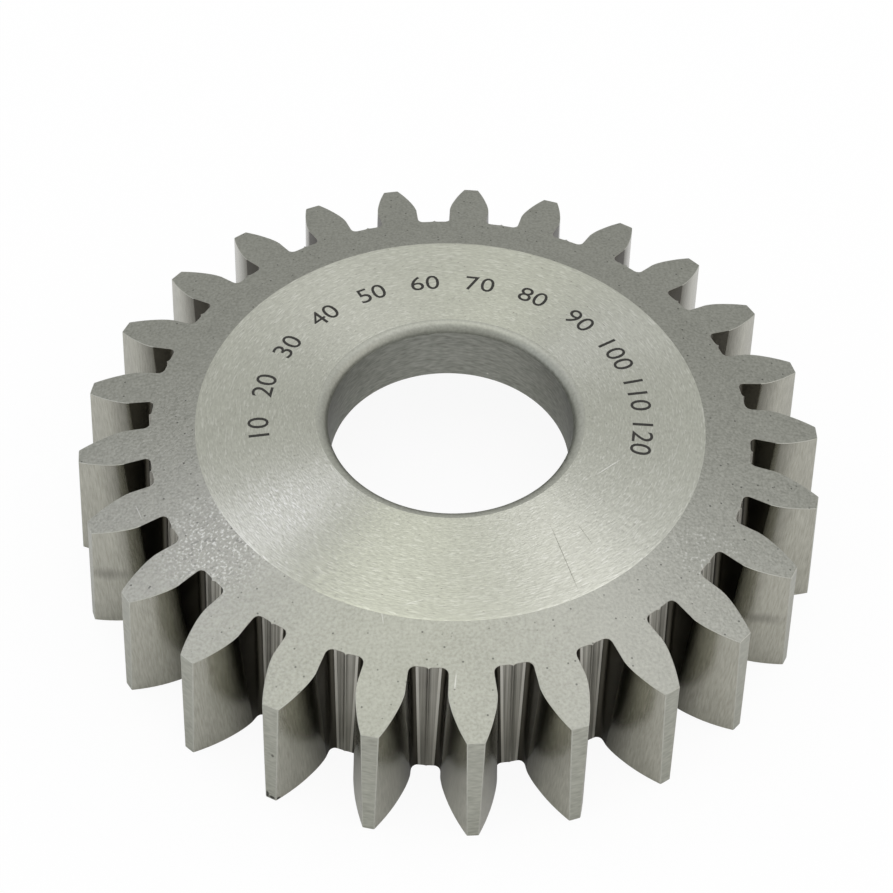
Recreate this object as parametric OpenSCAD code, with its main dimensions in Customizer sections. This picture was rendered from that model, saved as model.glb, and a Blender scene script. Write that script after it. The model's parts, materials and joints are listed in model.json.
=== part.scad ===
/* [Gear data] */
// Number of teeth
teeth = 25; // [22:1:28]
// Module of the gears that the cutter makes
gear_module = 5; // [4.6:0.1:5.4]
// Pressure angle of the flanks, in degrees
pressure_angle = 20; // [18:0.5:22]
// Height of a tooth above the pitch circle, as a share of the module
addendum_factor = 1.25; // [1.1:0.01:1.3]
// Whole depth of a tooth, as a share of the module
depth_factor = 2.5; // [2.25:0.01:2.6]
// Profile shift at the cutting tips, where the teeth are thickest
tip_shift = 0.56; // [0:0.02:1]

/* [Cutting angles] */
// Relief angle behind the tips of the teeth, in degrees
relief_angle = 6; // [4:0.5:8]
// Rake angle of the hollow cutting face, in degrees
rake_angle = 5; // [3:0.5:7]

/* [Body] */
// Width from the cutting tips to the support face
body_width = 28; // [24:0.5:32]
// Diameter of the ground support ring on the back
support_dia = 91.4; // [84:0.2:92]
// Slope of the back outside the support ring, in degrees
back_slope = 10; // [6:0.5:12]

/* [Bore and nut recess] */
// Diameter of the bore
bore_dia = 44.443; // [40:0.001:48]
// Radius of the rounding where the arbor enters the bore
entry_radius = 2.1; // [1.5:0.1:3]
// Angle that the entry rounding turns through, in degrees
entry_turn = 77; // [60:1:85]
// Thickness of the web between the support face and the nut seat
web_width = 12.7; // [10:0.1:15]
// Diameter of the recess for the clamping nut
recess_dia = 80; // [72:0.5:84]
// Radius in the inner corner of the recess
recess_corner = 1.5; // [0.5:0.1:2.5]
// Chamfer at the mouth of the recess
mouth_chamfer = 0.8; // [0.4:0.1:1.5]
// Chamfer where the bore meets the nut seat
seat_chamfer = 1; // [0.5:0.1:2]

/* [Tooth gaps] */
// Radius between a flank and the floor of the gap
root_radius = 1.1; // [0.6:0.1:1.3]
// Extra thickness at the foot of a flank, which eases the tips of the gears it cuts
foot_stock = 0.12; // [0:0.01:0.2]
// Height of the ridge between the two grinding passes, at the back
ridge_height_back = 0.45; // [0.1:0.05:0.6]
// Height of the same ridge at the cutting face
ridge_height_front = 0.1; // [0.05:0.05:0.3]
// Width of each hollow side of the ridge
ridge_run = 0.75; // [0.4:0.05:0.8]

/* [Hidden] */

// Steps along the involute part of a flank
flank_steps = 9;
// Steps round a root radius
root_steps = 5;
// Steps up each hollow side of the ridge
ridge_steps = 2;
// How far a gap's cutting shape runs out past the blank
overrun = 1;

pitch_r = gear_module * teeth / 2;
base_r = pitch_r * cos(pressure_angle);
tip_r = pitch_r + addendum_factor * gear_module + tip_shift;
tooth_pitch = 360 / teeth;
bore_r = bore_dia / 2;
support_r = support_dia / 2;
recess_r = recess_dia / 2;
seat_z = body_width - web_width;
entry_w = entry_radius * sin(entry_turn);
entry_depth = entry_radius * (1 - cos(entry_turn));

// Corner where the sloping back meets the tapering tips
back_tip_r = (tip_r - tan(relief_angle) * (body_width + support_r * tan(back_slope)))
    / (1 - tan(relief_angle) * tan(back_slope));
back_tip_z = body_width - (back_tip_r - support_r) * tan(back_slope);

// Height of the hollow cutting face at radius r
function face_z(r) = (tip_r - r) * tan(rake_angle);

mouth_z = face_z(recess_r + mouth_chamfer);

// Profile shift of the cross-section at height z: it falls with the tips
function shift_at(z) = tip_shift - z * tan(relief_angle);

// Outer end of a gap's cutting shape at height z, just past the tips
function outer_r(z) = tip_r + overrun - z * tan(relief_angle);

// Radius of a gap's floor at height z
function floor_r(z) = pitch_r + (addendum_factor - depth_factor) * gear_module + shift_at(z);

// Involute function of a point at radius r, in degrees
function involute(r) = let (a = acos(min(1, base_r / r))) tan(a) * 180 / PI - a;

// Angle that the extra thickness takes up at radius r: none at the pitch circle
function foot_ease(r) =
    foot_stock * max(0, pitch_r - r) / (pitch_r - base_r) / pitch_r * 180 / PI;

// Half the angle of a gap, at height z and radius r, between the flanks
function half_gap(z, r) = tooth_pitch / 4 - involute(pitch_r)
    - shift_at(z) * tan(pressure_angle) / pitch_r * 180 / PI + involute(r) - foot_ease(r);

function polar(r, a) = r * [cos(a), sin(a)];

// The root radius lies on the floor and touches the flank, which runs
// straight in towards the axis below the base circle
function root_centre_r(z) = floor_r(z) + root_radius;
function foot_r(z) = max(base_r, root_centre_r(z));
function foot_gap(z) = half_gap(z, foot_r(z));
function root_centre_a(z) = foot_gap(z) - asin(root_radius / root_centre_r(z));
function root_point(z, i) =
    let (from = foot_gap(z) + 90, to = root_centre_a(z) + 180)
        polar(root_centre_r(z), root_centre_a(z))
            + polar(root_radius, from + (to - from) * i / root_steps);

// One side of a gap at height z: down the involute, then round the root
function flank_r(z, i) = foot_r(z) + (outer_r(z) - foot_r(z)) * pow(1 - i / flank_steps, 1.5);
function gap_side(z) = concat(
    [for (i = [0 : flank_steps]) polar(flank_r(z, i), half_gap(z, flank_r(z, i)))],
    [for (i = [0 : root_steps]) root_point(z, i)]);

// The ridge along the middle of the floor, hollow on both sides of its crest
function ridge_at(z) =
    ridge_height_front + (ridge_height_back - ridge_height_front) * z / body_width;
function ridge(z) = [for (i = [-ridge_steps : ridge_steps])
    let (a = 90 * (1 - abs(i) / ridge_steps))
        [floor_r(z) + ridge_at(z) * (1 - cos(a)), -sign(i) * ridge_run * (1 - sin(a))]];

// Outline of a gap at height z: one side, the ridge, the other side
side_count = flank_steps + root_steps + 2;
crest = side_count + ridge_steps;
ring_count = 2 * crest + 1;
function gap_outline(z) =
    let (side = gap_side(z))
        concat(side, ridge(z), [for (i = [side_count - 1 : -1 : 0]) [side[i].x, -side[i].y]]);

// Faces that close one end of the gap shape: strips between the two flanks,
// then fans from the crest of the ridge
function end_faces(first) = concat(
    [for (i = [0 : flank_steps - 1])
        [first + i, first + i + 1, first + ring_count - 2 - i, first + ring_count - 1 - i]],
    [[first + flank_steps, first + crest, first + ring_count - 1 - flank_steps]],
    [for (i = [flank_steps : crest - 2]) [first + i, first + i + 1, first + crest]],
    [for (i = [crest + 1 : ring_count - 2 - flank_steps])
        [first + crest, first + i, first + i + 1]]);

function flipped(faces) = [for (f = faces) [for (i = [len(f) - 1 : -1 : 0]) f[i]]];

// Space between two teeth, wider and shallower than the last at each height
module tooth_gap() {
    low = -overrun;
    high = body_width + overrun;
    points = concat(
        [for (p = gap_outline(low)) [p.x, p.y, low]],
        [for (p = gap_outline(high)) [p.x, p.y, high]]);
    walls = [for (i = [0 : ring_count - 1])
        let (j = (i + 1) % ring_count) [i, i + ring_count, j + ring_count, j]];
    polyhedron(points, concat(end_faces(0), flipped(end_faces(ring_count)), walls));
}

// Half section of the turned blank, with the axis on the left
module blank_section() {
    difference() {
        polygon([
            [bore_r, 0],
            [bore_r, body_width],
            [support_r, body_width],
            [back_tip_r, back_tip_z],
            [tip_r, 0]
        ]);
        entry_rounding();
        cutting_face_hollow();
        nut_recess();
    }
}

// What the entry rounding takes off the edge of the bore
module entry_rounding() {
    difference() {
        translate([bore_r - entry_w, body_width - entry_depth])
            square([2 * entry_w, 2 * entry_depth]);
        translate([bore_r + entry_w, body_width - entry_radius])
            circle(entry_radius, $fn = 64);
    }
}

// Space under the hollow cutting face
module cutting_face_hollow() {
    polygon([[0, -overrun], [tip_r, -overrun], [tip_r, 0], [0, face_z(0)]]);
}

// Recess for the clamping nut, with the round corner that the tool's nose leaves
module nut_recess() {
    difference() {
        polygon([
            [0, 0],
            [recess_r + mouth_chamfer + mouth_z, 0],
            [recess_r, mouth_z + mouth_chamfer],
            [recess_r, seat_z],
            [bore_r + seat_chamfer, seat_z],
            [0, seat_z + seat_chamfer + bore_r]
        ]);
        difference() {
            translate([recess_r - recess_corner, seat_z - recess_corner])
                square(2 * recess_corner);
            translate([recess_r - recess_corner, seat_z - recess_corner])
                circle(recess_corner, $fn = 64);
        }
    }
}

// One piece of tool steel: turned, toothed, hardened, then ground all over.
// It lies on its cutting tips, with the support face up.
module shaper_cutter() {
    color([0.69, 0.69, 0.66])
        difference() {
            rotate_extrude($fn = 180) blank_section();
            for (i = [0 : teeth - 1])
                rotate((i + 0.5) * tooth_pitch - 90) tooth_gap();
        }
}

shaper_cutter();
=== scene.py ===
import json
import math

import bmesh
import bpy
from mathutils import Matrix, Vector


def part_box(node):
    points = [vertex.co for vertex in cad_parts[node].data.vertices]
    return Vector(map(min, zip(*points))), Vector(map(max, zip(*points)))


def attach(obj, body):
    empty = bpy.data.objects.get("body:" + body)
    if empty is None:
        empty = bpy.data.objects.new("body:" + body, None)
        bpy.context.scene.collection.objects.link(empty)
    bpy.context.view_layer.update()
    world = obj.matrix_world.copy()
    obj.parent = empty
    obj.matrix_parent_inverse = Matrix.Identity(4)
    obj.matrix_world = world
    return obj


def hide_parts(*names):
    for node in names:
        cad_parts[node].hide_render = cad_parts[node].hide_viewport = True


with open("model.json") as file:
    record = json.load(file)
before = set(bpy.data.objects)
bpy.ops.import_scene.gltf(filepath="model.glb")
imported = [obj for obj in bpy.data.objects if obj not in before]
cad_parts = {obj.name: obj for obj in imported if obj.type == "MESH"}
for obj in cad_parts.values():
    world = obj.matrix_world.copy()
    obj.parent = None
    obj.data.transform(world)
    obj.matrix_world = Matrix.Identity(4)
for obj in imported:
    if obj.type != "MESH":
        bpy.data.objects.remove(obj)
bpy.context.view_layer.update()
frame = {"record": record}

# The view: a product shot from above the front of the cutter, with a short
# telephoto lens, turned and rolled by a few degrees.
MM = 0.001
camera_place = Vector((-17.23, -207.11, 253.49)) * MM
camera_elevation = math.radians(48.453)
camera_turn = math.radians(4.588)
camera_roll = math.radians(1.596)
lens_length = 68.578

towards_camera = Vector((
    -math.cos(camera_elevation) * math.sin(camera_turn),
    -math.cos(camera_elevation) * math.cos(camera_turn),
    math.sin(camera_elevation)))
level = Vector((math.cos(camera_turn), -math.sin(camera_turn), 0))
upright = towards_camera.cross(level)
lens_right = level * math.cos(camera_roll) + upright * math.sin(camera_roll)
lens_up = upright * math.cos(camera_roll) - level * math.sin(camera_roll)
camera = bpy.data.objects.new("camera", bpy.data.cameras.new("camera"))
camera.data.sensor_width = 36
camera.data.lens = lens_length
camera.data.clip_start = 0.01
camera.matrix_world = Matrix.Translation(camera_place) @ Matrix(
    (lens_right, lens_up, towards_camera)).transposed().to_4x4()
bpy.context.scene.collection.objects.link(camera)
bpy.context.scene.camera = camera
bpy.context.scene.view_settings.view_transform = "Standard"

# The cutter body: one forging of high-speed steel, turned, toothed, hardened
# and ground. One pitch of it is made by carrying the outline of a tooth round
# the whole section, and 25 of these are merged. Sizes are in millimetres.
low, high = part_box("shaper_cutter")
body_width = high.z / MM
tip_r = -low.y / MM
bore_r = frame["record"]["mounts"][0]["dims"]["r_mm"]
teeth = 25
gear_module = 5
pressure_angle = math.radians(20)
addendum_factor = 1.25
depth_factor = 2.5
tip_shift = 0.56
relief_angle = math.radians(6)
rake_angle = math.radians(5)
support_r = 45.7
back_slope = math.radians(10)
entry_radius = 2.1
entry_turn = math.radians(77)
seat_z = 15.3
recess_r = 40
recess_corner = 1.5
mouth_chamfer = 0.8
seat_edge = 0.1
root_radius = 1.1
foot_stock = 0.12
ridge_height_back = 0.45
ridge_height_front = 0.1
ridge_run = 0.75
strip_width = 0.45
ring_edge = 0.12
web_r = 50.5

# How finely each surface is divided, and where a long one has a loop on its way.
# Points closer than the merge distance become one.
merge_distance = 0.0005
tooth_foot_share = 0.24
flank_steps = 12
flank_crowding = 1.4
root_steps = 6
ridge_steps = 3
wall_steps = 6
entry_steps = 8
corner_steps = 5
ring_middle_r = 35
bore_middle_z = 21
seat_middle_r = 30

tooth_pitch = math.tau / teeth
pitch_r = gear_module * teeth / 2
base_r = pitch_r * math.cos(pressure_angle)


def face_z(r):
    """Height of the hollow cutting face."""
    return (tip_r - r) * math.tan(rake_angle)


def back_z(r):
    """Height of the sloping back outside the support ring."""
    return body_width - max(0, r - support_r) * math.tan(back_slope)


def shift_at(z):
    """Profile shift of the cross-section at a height: it falls with the tips."""
    return tip_shift - z * math.tan(relief_angle)


def tip_at(z):
    """Radius of the tips at a height."""
    return tip_r - z * math.tan(relief_angle)


def floor_at(z):
    """Radius of a gap's floor at a height."""
    return pitch_r + (addendum_factor - depth_factor) * gear_module + shift_at(z)


def involute(r):
    """Involute function of a point on the flank."""
    a = math.acos(min(1, base_r / r))
    return math.tan(a) - a


def half_gap(z, r):
    """Half the angle of a gap; the teeth are a little thicker at the foot."""
    ease = foot_stock * max(0, pitch_r - r) / (pitch_r - base_r) / pitch_r
    return (tooth_pitch / 4 - involute(pitch_r) + involute(r) - ease
            - shift_at(z) * math.tan(pressure_angle) / pitch_r)


def gap_side(z):
    """Points down one side of a gap, as radius and angle from its middle."""
    root_centre_r = floor_at(z) + root_radius
    foot_r = max(base_r, root_centre_r)
    points = []
    for i in range(flank_steps + 1):
        r = foot_r + (tip_at(z) - foot_r) * (1 - i / flank_steps) ** flank_crowding
        points.append((r, half_gap(z, r)))
    centre_a = half_gap(z, foot_r) - math.asin(root_radius / root_centre_r)
    flank_turn = half_gap(z, foot_r) + math.pi / 2
    floor_turn = centre_a + math.pi
    for i in range(root_steps + 1):
        turn = flank_turn + (floor_turn - flank_turn) * i / root_steps
        x = root_centre_r * math.cos(centre_a) + root_radius * math.cos(turn)
        y = root_centre_r * math.sin(centre_a) + root_radius * math.sin(turn)
        points.append((math.hypot(x, y), math.atan2(y, x)))
    return points


def tooth_outline(z):
    """Points round one tooth, from the middle of one gap to that of the next."""
    side = gap_side(z)
    floor_r = floor_at(z)
    height = ridge_height_front + (ridge_height_back - ridge_height_front) * z / body_width
    side.append((floor_r, side[-1][1] - strip_width / floor_r))
    turns = [i / ridge_steps * math.pi / 2 for i in range(ridge_steps + 1)]
    side += [(floor_r + height * (1 - math.cos(t)), ridge_run * (1 - math.sin(t)) / floor_r)
             for t in turns]
    half = tooth_pitch / 2
    return [(r, -half + a) for r, a in reversed(side)] + [(r, half - a) for r, a in side]


stations = len(tooth_outline(0))
first_tip = stations // 2 - 1
first_foot = first_tip - flank_steps
last_foot = first_tip + 1 + flank_steps


def on_tooth(s, share):
    """A point of the outline, at a share of the way from the cutting face to the back.

    Where its line meets each of the two is found by going back and forth a few times."""
    ends = []
    for surface in (face_z, back_z):
        z = 0
        for _ in range(8):
            z = surface(tooth_outline(z)[s][0])
        ends.append(z)
    z = ends[0] + (ends[1] - ends[0]) * share
    r, a = tooth_outline(z)[s]
    return r, a, z


def arc(centre, bend, first, last, steps):
    """Points of the section round an arc, as radius and height."""
    angles = [first + (last - first) * i / steps for i in range(steps + 1)]
    return [(centre[0] + bend * math.cos(a), centre[1] + bend * math.sin(a)) for a in angles]


BACK, RING, ROUNDING, BORE, RECESS, FACE, LAND, FLANK, FLOOR, EDGE, ROOT, STRIP = range(12)
entry_w = entry_radius * math.sin(entry_turn)
entry_top = bore_r + entry_w
mouth_r = recess_r + mouth_chamfer
slope_start = support_r + ring_edge
section = [(BACK, [(web_r, back_z(web_r)), (slope_start, back_z(slope_start))]),
           (RING, [(support_r - ring_edge, body_width), (support_r - 3 * ring_edge, body_width),
                   (ring_middle_r, body_width), (entry_top, body_width)]),
           (ROUNDING, arc((entry_top, body_width - entry_radius), entry_radius,
                          math.pi / 2, math.pi / 2 + entry_turn, entry_steps)[1:]),
           (BORE, [(bore_r, bore_middle_z), (bore_r, seat_z + seat_edge)]),
           (RECESS, [(bore_r + seat_edge, seat_z), (seat_middle_r, seat_z)]),
           (RECESS, arc((recess_r - recess_corner, seat_z - recess_corner), recess_corner,
                        math.pi / 2, 0, corner_steps)),
           (RECESS, [(recess_r, face_z(mouth_r) + mouth_chamfer), (mouth_r, face_z(mouth_r))]),
           (FACE, [(web_r, face_z(web_r))])]

body = bmesh.new()
station = body.verts.layers.int.new("station")
radius = body.verts.layers.float.new("radius")


def put(vert, r, a, z):
    """Puts a vertex at a radius, an angle and a height."""
    vert.co = (r * math.cos(a), r * math.sin(a), z)
    vert[radius] = r


def angle_of(vert):
    """Angle of a vertex round the axis."""
    return math.atan2(vert.co.y, vert.co.x)


def spread(s):
    """Angle of a station on the inner circles, where the points are spread evenly."""
    foot_a = tooth_foot_share * tooth_pitch
    if s <= first_foot:
        return -tooth_pitch / 2 + (tooth_pitch / 2 - foot_a) * s / first_foot
    last = stations - 1
    return foot_a + (tooth_pitch / 2 - foot_a) * (s - last_foot) / (last - last_foot)


row = []
for s in range(stations):
    vert = body.verts.new()
    vert[station] = s
    put(vert, *on_tooth(s, 0))
    row.append(vert)
front = [body.edges.new(pair) for pair in zip(row, row[1:])]


def carry(edges):
    """Extrudes a chain of edges and gives its new points, edges and faces."""
    made = bmesh.ops.extrude_edge_only(body, edges=edges)["geom"]
    new_verts = [g for g in made if isinstance(g, bmesh.types.BMVert)]
    new_faces = [g for g in made if isinstance(g, bmesh.types.BMFace)]
    new_edges = [g for g in made if isinstance(g, bmesh.types.BMEdge)
                 and all(v in new_verts for v in g.verts)]
    return new_verts, new_edges, new_faces


def wall_zone(face):
    """Which surface a face of the wall belongs to."""
    middle = sum(v[station] for v in face.verts) / 4
    if abs(middle - first_tip - 0.5) < 0.1:
        return LAND
    if first_foot < middle < last_foot:
        return FLANK
    from_crest = min(middle, stations - 1 - middle) - ridge_steps
    return ROOT if from_crest > 2 else STRIP if from_crest > 1 else FLOOR


back = front
for step in range(1, wall_steps + 1):
    verts, back, faces = carry(back)
    for vert in verts:
        put(vert, *on_tooth(vert[station], step / wall_steps))
    for face in faces:
        face.material_index = wall_zone(face)


def between(edges, first, last):
    """The edges of a chain between two stations."""
    return [e for e in edges if all(first <= v[station] <= last for v in e.verts)]


for edges, zone in ((back, BACK), (front, FACE)):
    sides = between(edges, first_foot, first_tip) + between(edges, first_tip + 1, last_foot)
    for face in bmesh.ops.bridge_loops(body, edges=sides)["faces"]:
        face.material_index = zone


def inner_chain(edges):
    """The floor and the roots of a chain, and the edge that joins them under the tooth."""
    chain = between(edges, 0, first_foot) + between(edges, last_foot, stations - 1)
    ends = [v for e in chain for v in e.verts if v[station] in (first_foot, last_foot)]
    return chain + [body.edges.get(ends)]


chain = inner_chain(back)
for zone, points in section:
    for r, z in points:
        verts, chain, faces = carry(chain)
        for vert in verts:
            put(vert, r, spread(vert[station]), z)
        for face in faces:
            face.material_index = zone
verts, chain, faces = carry(chain)
for vert in verts:
    put(vert, *on_tooth(vert[station], 0))
for face in faces:
    face.material_index = FACE
bmesh.ops.remove_doubles(body, verts=body.verts, dist=merge_distance)

# The tips and the ends of the tooth get points across them, so that they are round.
across_tooth = [e for e in body.edges
                if sum(v[station] for v in e.verts) == first_tip * 2 + 1
                and first_foot <= min(v[station] for v in e.verts)]
bmesh.ops.subdivide_edges(body, edges=across_tooth, cuts=3, use_grid_fill=True)
for vert in body.verts:
    put(vert, vert[radius], angle_of(vert), vert.co.z)

bmesh.ops.rotate(body, verts=body.verts, cent=(0, 0, 0),
                 matrix=Matrix.Rotation(-math.pi / 2, 3, "Z"))
bmesh.ops.spin(body, geom=body.verts[:] + body.edges[:] + body.faces[:], cent=(0, 0, 0),
               axis=(0, 0, 1), dvec=(0, 0, 0), angle=math.tau - tooth_pitch, steps=teeth - 1,
               use_merge=False, use_normal_flip=False, use_duplicate=True)
bmesh.ops.remove_doubles(body, verts=body.verts, dist=merge_distance)
bmesh.ops.recalc_face_normals(body, faces=body.faces)


# The edges behind the cutting face are broken with a fine stone, and catch the
# light. The cutting edges themselves stay sharp.
tip_corner = 0.12
back_edge = 0.08
floor_edge = 0.05
sharp_fold = math.radians(35)


def zones_of(edge):
    """The surfaces that meet at an edge."""
    return {f.material_index for f in edge.link_faces}


def break_edges(edges, width, zone):
    """Rounds off some edges, as a strip of a zone."""
    for face in bmesh.ops.bevel(body, geom=edges, offset=width, offset_type="OFFSET", affect="EDGES",
                                segments=2, profile=0.5, material=-1, clamp_overlap=False)["faces"]:
        face.material_index = zone


break_edges([e for e in body.edges if zones_of(e) == {LAND, FLANK}], tip_corner, EDGE)
break_edges([e for e in body.edges if BACK in zones_of(e) and zones_of(e) & {FLANK, LAND, EDGE}],
            back_edge, EDGE)
break_edges([e for e in body.edges if BACK in zones_of(e) and zones_of(e) & {FLOOR, ROOT, STRIP}],
            floor_edge, FLOOR)
for face in body.faces:
    face.smooth = True
for edge in body.edges:
    zones = zones_of(edge)
    if (len(zones) > 1 and not zones <= {FLANK, ROOT, FLOOR, STRIP}) or (
            zones != {FLOOR} and edge.calc_face_angle(0) > sharp_fold):
        edge.smooth = False
bmesh.ops.scale(body, verts=body.verts, vec=(MM, MM, MM))


def piece(name, bm):
    """A finished piece, with its place in its mesh."""
    mesh = bpy.data.meshes.new(name)
    bm.to_mesh(mesh)
    bm.free()
    made = bpy.data.objects.new(name, mesh)
    bpy.context.scene.collection.objects.link(made)
    return made


cutter = piece("ground_cutter", body)
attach(cutter, "root")
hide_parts("shaper_cutter")


def srgb(text):
    """A hex colour as linear red, green, blue and alpha."""
    parts = [int(text[i:i + 2], 16) / 255 for i in (1, 3, 5)]
    return tuple(c / 12.92 if c < 0.04045 else ((c + 0.055) / 1.055) ** 2.4 for c in parts) + (1,)


def add(tree, kind, links=None, **settings):
    """Adds a node with its settings, and gives its inputs a link or a value."""
    node = tree.nodes.new("ShaderNode" + kind)
    for name, value in settings.items():
        setattr(node, name, value)
    for socket, source in (links or {}).items():
        if isinstance(source, bpy.types.NodeSocket):
            tree.links.new(source, node.inputs[socket])
        else:
            node.inputs[socket].default_value = source
    return node


def new_material(made, name):
    """Gives a piece an empty material, and returns its tree."""
    material = bpy.data.materials.new(name)
    material.use_nodes = True
    material.node_tree.nodes.clear()
    made.data.materials.append(material)
    return material.node_tree


def even_marks(tree, size):
    """Coordinates for marks of one size in millimetres, the same every way."""
    place = add(tree, "TexCoord").outputs["Object"]
    return add(tree, "Mapping", {"Vector": place, "Scale": [1 / (size * MM)] * 3}).outputs[0]


def far_from(tree, x, y, z, wide, tall):
    """How far out in a round patch a point lies: 0 at its middle and 1 at its edge."""
    place = add(tree, "TexCoord").outputs["Object"]
    own = add(tree, "Mapping", {"Vector": place, "Location": (x * MM, y * MM, z * MM),
                                "Scale": (wide / 2 * MM, wide / 2 * MM, tall / 2 * MM)},
              vector_type="TEXTURE")
    return add(tree, "VectorMath", {0: own.outputs[0]}, operation="LENGTH").outputs["Value"]


def specks(marks, chosen, size, shade):
    """Small flat specks: the share of the marks that are chosen, and how large each is."""
    def flaw(tree, colour, height):
        cells = add(tree, "TexVoronoi", {"Vector": marks[0](tree, *marks[1:]), "Scale": 1})
        near = add(tree, "MapRange", {"Value": cells.outputs["Distance"], "From Min": size / 2,
                                      "From Max": size, "To Min": 1, "To Max": 0})
        chance = add(tree, "SeparateColor", {0: cells.outputs["Color"]}).outputs["Red"]
        some = add(tree, "Math", {0: chance, 1: chosen}, operation="LESS_THAN").outputs[0]
        share = add(tree, "Math", {0: near.outputs[0], 1: some}, operation="MULTIPLY").outputs[0]
        mixed = add(tree, "Mix", {0: share, 6: colour, 7: srgb(shade)}, data_type="RGBA")
        return mixed.outputs[2], height
    return flaw


# A patch seen from above goes right through the cutter, so it is this tall.
full_depth = 2000


def strokes(marks, least, shade, patch=None):
    """Strokes with soft ends, where a noise drawn out like the marks is high.

    A patch is its middle, seen from above, and its width: it keeps the strokes there."""
    def flaw(tree, colour, height):
        noise = add(tree, "TexNoise", {"Vector": marks[0](tree, *marks[1:]), "Scale": 1, "Detail": 1})
        share = add(tree, "MapRange", {"Value": noise.outputs["Fac"], "From Min": least,
                                       "From Max": least + 0.1, "To Max": 0.8}).outputs[0]
        if patch:
            x, y, wide = patch
            inside = add(tree, "MapRange", {"Value": far_from(tree, x, y, 0, wide, full_depth),
                                            "From Min": 0.4, "From Max": 1,
                                            "To Min": 1, "To Max": 0}).outputs[0]
            share = add(tree, "Math", {0: share, 1: inside}, operation="MULTIPLY").outputs[0]
        mixed = add(tree, "Mix", {0: share, 6: colour, 7: srgb(shade)}, data_type="RGBA")
        return mixed.outputs[2], height
    return flaw


def scratch(x0, y0, x1, y1, width, shade, strength=0.8):
    """A straight scratch seen from above, from one point to another in millimetres."""
    def flaw(tree, colour, height):
        place = add(tree, "TexCoord").outputs["Object"]
        half = math.hypot(x1 - x0, y1 - y0) / 2
        own = add(tree, "Mapping", {"Vector": place,
                                    "Location": ((x0 + x1) / 2 * MM, (y0 + y1) / 2 * MM, 0),
                                    "Rotation": (0, 0, math.atan2(y1 - y0, x1 - x0)),
                                    "Scale": (half * MM, width / 2 * MM, 1)}, vector_type="TEXTURE")
        size = add(tree, "VectorMath", {0: own.outputs[0]}, operation="ABSOLUTE").outputs[0]
        parts = add(tree, "SeparateXYZ", {0: size})
        far = add(tree, "Math", {0: parts.outputs["X"], 1: parts.outputs["Y"]},
                  operation="MAXIMUM").outputs[0]
        share = add(tree, "MapRange", {"Value": far, "From Min": 0.5, "From Max": 1,
                                       "To Min": strength, "To Max": 0}).outputs[0]
        colour = add(tree, "Mix", {0: share, 6: colour, 7: srgb(shade)}, data_type="RGBA").outputs[2]
        return colour, add(tree, "Math", {0: height, 1: share}, operation="SUBTRACT").outputs[0]
    return flaw


def spot(x, y, z, wide, tall, shade):
    """A single mark round a point, so wide and so tall in millimetres."""
    def flaw(tree, colour, height):
        far = far_from(tree, x, y, z, wide, tall)
        share = add(tree, "MapRange", {"Value": far, "From Min": 0.6, "From Max": 1,
                                       "To Min": 0.85, "To Max": 0}).outputs[0]
        colour = add(tree, "Mix", {0: share, 6: colour, 7: srgb(shade)}, data_type="RGBA").outputs[2]
        return colour, add(tree, "Math", {0: height, 1: share}, operation="SUBTRACT").outputs[0]
    return flaw


def radially(tree):
    """The direction away from the axis, across lines that run round it."""
    place = add(tree, "TexCoord").outputs["Object"]
    return add(tree, "VectorMath", {0: place, 1: (1, 1, 0)}, operation="MULTIPLY").outputs[0]


# Hardening leaves clouds of this size, which make up this share of the shade.
cloud_size = 7
cloud_share = 0.25


def steel(name, dark, light, roughness, marks, depth, stretch=0, flaws=(), across=radially):
    """Bare steel: the marks of its tool, a cloudy shade from hardening, then single flaws.

    The marks have a depth in millimetres. Stretch is how far a reflection is drawn out
    across the lines of the tool."""
    tree = new_material(cutter, name)
    noise = add(tree, "TexNoise", {"Vector": marks[0](tree, *marks[1:]), "Scale": 1, "Detail": 1})
    height = add(tree, "MapRange", {"Value": noise.outputs["Fac"],
                                    "From Min": 0.2, "From Max": 0.8}).outputs[0]
    cloud = add(tree, "TexNoise", {"Vector": even_marks(tree, cloud_size), "Scale": 1, "Detail": 2})
    share = add(tree, "Mix", {0: cloud_share, 2: height, 3: cloud.outputs["Fac"]},
                data_type="FLOAT").outputs[0]
    colour = add(tree, "Mix", {0: share, 6: srgb(dark), 7: srgb(light)}, data_type="RGBA").outputs[2]
    gloss = add(tree, "MapRange", {"Value": height, "To Min": roughness[0],
                                   "To Max": roughness[1]}).outputs[0]
    for flaw in flaws:
        colour, height = flaw(tree, colour, height)
    bump = add(tree, "Bump", {"Height": height, "Strength": 1, "Distance": depth * MM}).outputs[0]
    surface = add(tree, "BsdfPrincipled", {"Base Color": colour, "Metallic": 1, "Roughness": gloss,
                                           "Anisotropic": stretch, "Normal": bump})
    if stretch:
        tree.links.new(across(tree), surface.inputs["Tangent"])
    add(tree, "OutputMaterial", {"Surface": surface.outputs[0]})


# Back: turned, then blasted after hardening. Even grey with a fine grain, some dark
# pits, patches of painted glints and painted shade in the grain at the lower left and
# right, and a few marks of handling. The real grain is under
# 0.1 mm, too fine to show, so it is drawn at 0.5 mm.
steel("blasted_steel", "#898a81", "#afb0a6", (0.33, 0.43), (even_marks, 0.5), 0.022, 0, (
    specks((even_marks, 1.5), 0.45, 0.15, "#62625d"),
    # painted glints (light) and painted shade (dark) in the grain, lower left
    strokes((even_marks, 0.5), 0.56, "#cbccc6", (-41, -27, 24)),
    strokes((even_marks, 0.6), 0.6, "#7f7f79", (-41, -29, 22)),
    # painted glints in the grain, lower right
    strokes((even_marks, 0.5), 0.62, "#c6c7c1", (42, -34, 16)),
    spot(55.9, -35.3, 26.2, 2.6, 3, "#cfcfca"),
    scratch(-2.89, -57.72, -2.39, -54.69, 0.26, "#cfcfc9", 0.6),
    scratch(-13.95, -43.4, -13.72, -45.68, 0.16, "#d6d6d0", 0.6),
    scratch(-55.59, -17.26, -54.19, -20.69, 0.2, "#cacac5", 0.6),
    scratch(-27.9, -56.4, -26.8, -56.1, 0.35, "#3c3b36")))


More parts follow.
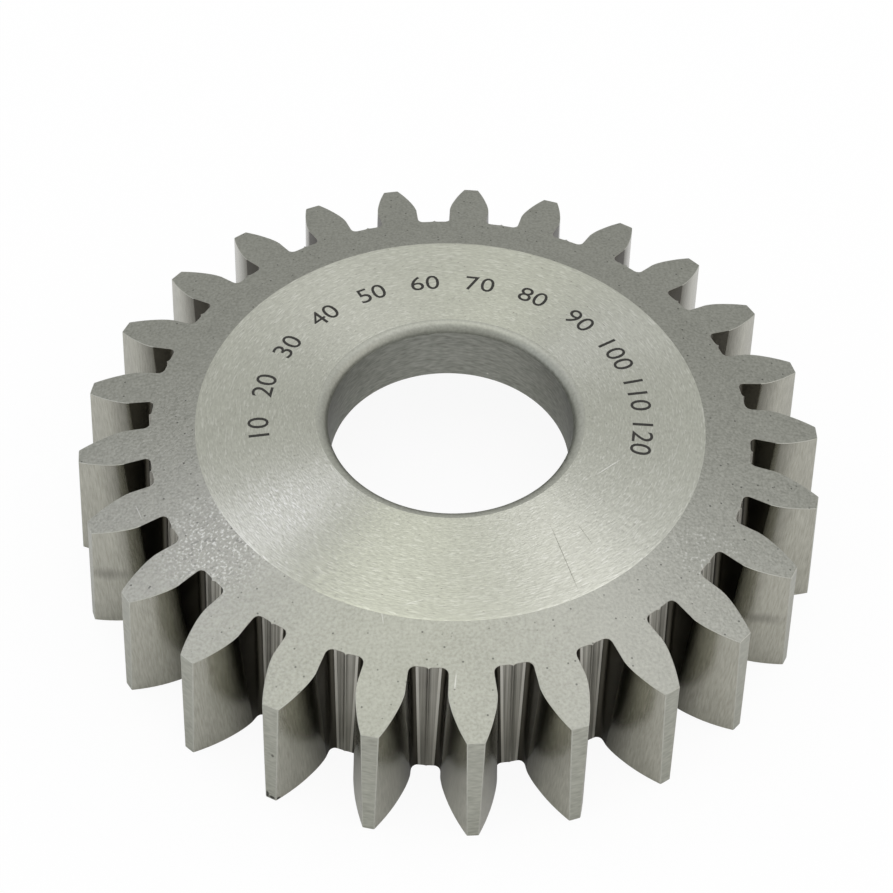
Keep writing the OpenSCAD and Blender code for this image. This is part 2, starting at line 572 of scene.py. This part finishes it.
def round_marks(tree, length, width, at_r=35):
    """Coordinates for marks that run round the axis, so long at one radius, and so wide.

    Their width counts outwards and up. Short and very wide ones are the lines along a
    tooth gap, and follow its taper."""
    flat = radially(tree)
    r = add(tree, "VectorMath", {0: flat}, operation="LENGTH").outputs["Value"]
    way = add(tree, "VectorMath", {0: flat}, operation="NORMALIZE").outputs[0]
    along = add(tree, "VectorMath", {0: way, "Scale": at_r / length}, operation="SCALE").outputs[0]
    place = add(tree, "TexCoord").outputs["Object"]
    z = add(tree, "SeparateXYZ", {0: place}).outputs["Z"]
    out = add(tree, "Math", {0: r, 1: z}, operation="ADD").outputs[0]
    line = add(tree, "CombineXYZ", {"Z": out}).outputs[0]
    wide = add(tree, "VectorMath", {0: line, "Scale": 1 / (width * MM)}, operation="SCALE").outputs[0]
    return add(tree, "VectorMath", {0: along, 1: wide}, operation="ADD").outputs[0]


# Support ring: face ground, then lapped. Its lines run round it, so a lamp shows as
# a bright sector. Short light strokes lie all over it, with more painted as glints in
# the bright sector at the lower left, and a few fine scratches. The real
# lines are 0.02 to 0.05 mm apart, too fine to show, so they are drawn at 0.3 mm.
steel("face_ground_steel", "#b7b8ac", "#d3d5c7", (0.27, 0.34), (round_marks, 0.8, 0.3), 0.02, 0.9, (
    strokes((round_marks, 1.5, 0.25), 0.58, "#dbdcd1"),
    # painted glints in the bright sector at the lower left
    strokes((round_marks, 0.9, 0.22), 0.54, "#e6e7df", (-30.5, -20.5, 19)),
    scratch(15.29, -25.97, 18.77, -40.97, 0.15, "#8b8b80", 0.7),
    scratch(20.05, -26.4, 22.23, -31.27, 0.14, "#8b8b80", 0.6),
    scratch(29.62, -12.08, 24.39, -15.8, 0.2, "#e6e6df"),
    scratch(-6.6, -41.1, -10.6, -42.3, 0.2, "#e6e6df", 0.6)))
# Entry rounding: turned, then blasted with the back, so it is dull, with its grain
# drawn as coarse as there.
steel("blasted_rounding_steel", "#98998f", "#b8baaf", (0.42, 0.52), (even_marks, 0.5), 0.01)
# Bore: honed to size. A dull grey, with a faint weave of short lines. The stones
# leave them a few hundredths of a millimetre wide, and they are drawn at 0.4 mm.
steel("honed_bore_steel", "#8b8c83", "#cccec5", (0.3, 0.36), (round_marks, 1.6, 0.4, 22), 0.001, 0, (
    spot(8.59, 20.49, 16.76, 0.5, 0.5, "#e6e6df"),))
# Nut recess: turned, and left as it came from the tool, with its lines round it at
# about the feed of the tool, 0.35 mm.
steel("turned_recess_steel", "#8f8f8b", "#b4b4b0", (0.36, 0.44), (round_marks, 8, 0.35), 0.004)
# Cutting face: ground hollow as a very flat cone, so it is as bright as the ring,
# with its fine lines drawn at 0.35 mm to show.
steel("ground_cutting_face_steel", "#b2b3a7", "#d4d6ca", (0.26, 0.32), (round_marks, 6, 0.35),
      0.001, 0.6)
# Tips: ground round, with fine level lines, drawn at 0.4 mm to show, and, on one
# tooth, dark chips at the corners of the cutting edge.
chips = (spot(-33.9, -60.2, 0.8, 0.9, 2.2, "#23231d"),
         spot(-33.2, -60.8, 0.5, 1.3, 0.9, "#2b2a22"),
         spot(-32.1, -60.95, 0.4, 0.9, 0.8, "#1f1f1a"),
         spot(-32.44, -59.81, 12, 0.6, 0.9, "#5e5e57"))
steel("round_ground_tip_steel", "#94958a", "#c2c3b7", (0.3, 0.4), (round_marks, 1.6, 0.4, 67),
      0.003, 0, chips)


def upright_marks(tree, length, width):
    """Coordinates for marks that stand upright, so long and so wide in millimetres."""
    place = add(tree, "TexCoord").outputs["Object"]
    scale = [1 / (s * MM) for s in (width, width, length)]
    return add(tree, "Mapping", {"Vector": place, "Scale": scale}).outputs[0]


# Painted shade on the flanks: full inside the first radius, and gone by the second.
root_shade_full_r = 58
root_shade_gone_r = 63.5


def painted_root_shade(tree, colour, height):
    """Painted shade on the flank, darkest at the root and fading out up the flank."""
    r = add(tree, "VectorMath", {0: radially(tree)}, operation="LENGTH").outputs["Value"]
    share = add(tree, "MapRange", {"Value": r, "From Min": root_shade_full_r * MM,
                                   "From Max": root_shade_gone_r * MM,
                                   "To Min": 0.8, "To Max": 0}).outputs[0]
    mixed = add(tree, "Mix", {0: share, 6: colour, 7: srgb("#3c3a31")}, data_type="RGBA")
    return mixed.outputs[2], height


def stain(x, y, z, wide, tall):
    """A dark band that coolant left across a flank, broken into upright streaks."""
    def flaw(tree, colour, height):
        far = far_from(tree, x, y, z, wide, tall)
        streaks = add(tree, "TexNoise", {"Vector": upright_marks(tree, 3, 0.35), "Scale": 1})
        edge = add(tree, "Math", {0: far, 1: streaks.outputs["Fac"]}, operation="ADD").outputs[0]
        share = add(tree, "MapRange", {"Value": edge, "From Min": 0.7, "From Max": 1.5,
                                       "To Min": 0.5, "To Max": 0}).outputs[0]
        mixed = add(tree, "Mix", {0: share, 6: colour, 7: srgb("#6f6e66")}, data_type="RGBA")
        return mixed.outputs[2], height
    return flaw


# Flanks: ground by rolling against a wheel. Smooth, slightly warm and finely
# streaked, with a coolant stain on two of them and a few specks on a third. The
# streaks are the wheel's lines, drawn at 0.25 mm to show.
flank_specks = (spot(-12.2, -61.1, 21.7, 0.5, 0.8, "#e2e2da"),
                spot(-12.3, -60.6, 20.4, 0.3, 0.6, "#e2e2da"),
                spot(-12.1, -61.6, 20.2, 0.4, 0.4, "#d2d2ca"),
                spot(-12.3, -60.1, 22.3, 0.3, 0.5, "#d2d2ca"))
steel("profile_ground_flank_steel", "#a09f93", "#c8c7bb", (0.18, 0.24), (upright_marks, 2.5, 0.25),
      0.001, 0, (
          # painted shade, darker towards the root
          painted_root_shade,
          stain(-61.4, -22.5, 13.6, 9, 4),
          stain(52.1, -36.9, 12.9, 9, 3.5),
          spot(-64.0, -22.0, 15.2, 0.6, 0.6, "#3c3b36"),
          *flank_specks, *chips))


def sideways(tree):
    """The level direction along a wall, across its upright lines."""
    outwards = add(tree, "NewGeometry").outputs["Normal"]
    return add(tree, "VectorMath", {0: outwards, 1: (0, 0, 1)}, operation="CROSS_PRODUCT").outputs[0]


# Gap floors: form ground in two passes. Strong lines, drawn at 0.3 mm to show, run
# the length of the gap and spread the light sideways, so the ridge between the
# passes is only a thin line.
steel("form_ground_floor_steel", "#5c5a51", "#d8d6cb", (0.36, 0.42), (round_marks, 0.3, 200, 52),
      0.0015, 0.9, (), sideways)
# Broken edges: stoned by hand, so they are without lines, and a little brighter, which is partly a
# painted highlight along them.
steel("stoned_edge_steel", "#b0b1a7", "#c8c9bf", (0.3, 0.4), (even_marks, 0.8), 0.001)
# Roots: dark steel, a painted shade for the hollow between the teeth,
# with faint lines of the hob along them.
steel("scaled_root_steel", "#3a3831", "#524f46", (0.26, 0.34), (round_marks, 0.4, 200, 54), 0.0005)
# Strips beside the roots: light steel, a painted highlight where the floor begins to curve into the
# root.
steel("burnished_floor_steel", "#d0cec4", "#e0ded4", (0.34, 0.4), (round_marks, 0.3, 200, 52),
      0.001, 0.9, (), sideways)

# The numbers: a plain scale, burnt into the support ring with a laser. The
# steel is only darkened, so each digit is a thin skin, rooted in the ground ring.
number_step = 10
number_count = 12
number_spacing = math.radians(17.8)
number_middle = math.radians(4)
digit_height = 3.8
digit_width = 2.6
digit_advance = 3.0
digit_foot_r = 32.7
digit_curve_steps = 4
skin = 0.015
skin_root = 0.2


def digit_mesh(char):
    """One digit in a plain font, lying flat and one unit thick."""
    curve = bpy.data.curves.new("digit", "FONT")
    curve.body = char
    curve.resolution_u = digit_curve_steps
    curve.extrude = 0.5
    made = bpy.data.objects.new("digit", curve)
    mesh = bpy.data.meshes.new_from_object(made)
    bpy.data.objects.remove(made)
    return mesh


def reach(mesh, axis):
    """The lowest and highest place of a mesh along an axis."""
    values = [v.co[axis] for v in mesh.vertices]
    return min(values), max(values)


nought_left, nought_right = reach(digit_mesh("0"), 0)
nought_foot, nought_top = reach(digit_mesh("0"), 1)
digit_scale = Matrix.Diagonal((digit_width / (nought_right - nought_left),
                               digit_height / (nought_top - nought_foot), skin + skin_root, 1))
numbers = bmesh.new()
for i in range(number_count):
    middle = number_middle + (i - (number_count - 1) / 2) * number_spacing
    text = str((i + 1) * number_step)
    for j, char in enumerate(text):
        turn = middle + (j - (len(text) - 1) / 2) * digit_advance / (digit_foot_r + digit_height / 2)
        mesh = digit_mesh(char)
        left, right = reach(mesh, 0)
        mesh.transform(Matrix.Rotation(-turn, 4, "Z")
                       @ Matrix.Translation((0, digit_foot_r, body_width + (skin - skin_root) / 2))
                       @ digit_scale @ Matrix.Translation((-(left + right) / 2, -nought_foot, 0)))
        numbers.from_mesh(mesh)
bmesh.ops.remove_doubles(numbers, verts=numbers.verts, dist=merge_distance)
bmesh.ops.recalc_face_normals(numbers, faces=numbers.faces)
bmesh.ops.scale(numbers, verts=numbers.verts, vec=(MM, MM, MM))
scale_numbers = piece("scale_numbers", numbers)
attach(scale_numbers, "root")

# Laser-darkened steel: a thin brown-black oxide, dull and a little uneven.
tree = new_material(scale_numbers, "laser_darkened_steel")
soot = add(tree, "TexNoise", {"Vector": even_marks(tree, 0.4), "Scale": 1, "Detail": 2})
colour = add(tree, "Mix", {0: soot.outputs["Fac"], 6: srgb("#110f0b"), 7: srgb("#2a2920")},
             data_type="RGBA")
surface = add(tree, "BsdfPrincipled", {"Base Color": colour.outputs[2], "Roughness": 0.55})
add(tree, "OutputMaterial", {"Surface": surface.outputs[0]})

# The studio: a pale floor under soft lamps. The floor shows white to the lens,
# and keeps the shadow of the cutter. Mirrored in the steel it is nearly as it
# is lit, so that the foot of each flank stays dark.
floor_size = 6
glow_share = 0.93
mirror_share = 0.04
bpy.ops.mesh.primitive_plane_add(size=floor_size)
floor = bpy.context.object
floor.name = "floor"
tree = new_material(floor, "pale_studio_floor")
plain = add(tree, "BsdfDiffuse", {"Color": (0.85, 0.85, 0.85, 1)})
white = add(tree, "BsdfDiffuse", {"Color": (1, 1, 1, 1)})
glow = add(tree, "Emission", {"Color": (1, 1, 1, 1), "Strength": 1})
seen = add(tree, "MixShader", {0: glow_share, 1: white.outputs[0], 2: glow.outputs[0]})
path = add(tree, "LightPath").outputs
mirror_ray = add(tree, "Math", {0: path["Is Glossy Ray"], 1: path["Is Transmission Ray"]},
                 operation="MAXIMUM").outputs[0]
mirrored = add(tree, "Math", {0: mirror_ray, 1: mirror_share}, operation="MULTIPLY").outputs[0]
lifted = add(tree, "Math", {0: path["Is Camera Ray"], 1: mirrored}, operation="MAXIMUM").outputs[0]
mixed = add(tree, "MixShader", {0: lifted, 1: plain.outputs[0], 2: seen.outputs[0]})
add(tree, "OutputMaterial", {"Surface": mixed.outputs[0]})

# The room: even white light from all sides, which shows white to the lens.
world = bpy.data.worlds.new("studio")
sky_strength = 0.628
bpy.context.scene.world = world
world.use_nodes = True
sky = world.node_tree.nodes["Background"]
path = add(world.node_tree, "LightPath").outputs
bright = add(world.node_tree, "MapRange", {"Value": path["Is Camera Ray"], "To Min": sky_strength,
                                           "To Max": 1})
world.node_tree.links.new(bright.outputs[0], sky.inputs["Strength"])
sky.inputs["Color"].default_value = (1, 1, 1, 1)

# The lamps: large softboxes hung round the cutter, the brightest behind it on the
# left and above, and long narrow ones on the right.
lamp_distance = 1.3


def softbox(name, elevation, azimuth, width, height, brightness):
    """A flat lamp that faces the cutter, so far up and so far clockwise from behind it.

    Brightness is how bright its face looks in red, green and blue."""
    lamp = bpy.data.lights.new(name, "AREA")
    lamp.shape = "RECTANGLE"
    lamp.size = width
    lamp.size_y = height
    lamp.color = [c / max(brightness) for c in brightness]
    lamp.energy = max(brightness) * math.pi * width * height
    up, way = math.radians(elevation), math.radians(azimuth)
    towards = Vector((math.cos(up) * math.sin(way), math.cos(up) * math.cos(way), math.sin(up)))
    held = bpy.data.objects.new(name, lamp)
    held.location = towards * lamp_distance
    held.rotation_euler = towards.to_track_quat("Z", "Y").to_euler()
    bpy.context.scene.collection.objects.link(held)


softbox("right_low_strip", 58, 60, 1.2, 0.25, (0.27, 0.27, 0.33))
softbox("right_middle_strip", 66, 60, 1.2, 0.25, (0.66, 0.64, 0.67))
softbox("right_high_strip", 74, 96, 1.2, 0.25, (1.19, 1.17, 1.28))
softbox("overhead", 80, 306, 1.0, 0.5, (1.26, 1.27, 1.17))
softbox("back_left", 58, 316, 0.6, 0.2, (1.98, 1.92, 2.33))
softbox("right_fill", 28, 98, 1.2, 1.2, (0.53, 0.50, 0.50))
softbox("left_fill", 26, 267, 0.9, 1.2, (0.40, 0.42, 0.49))
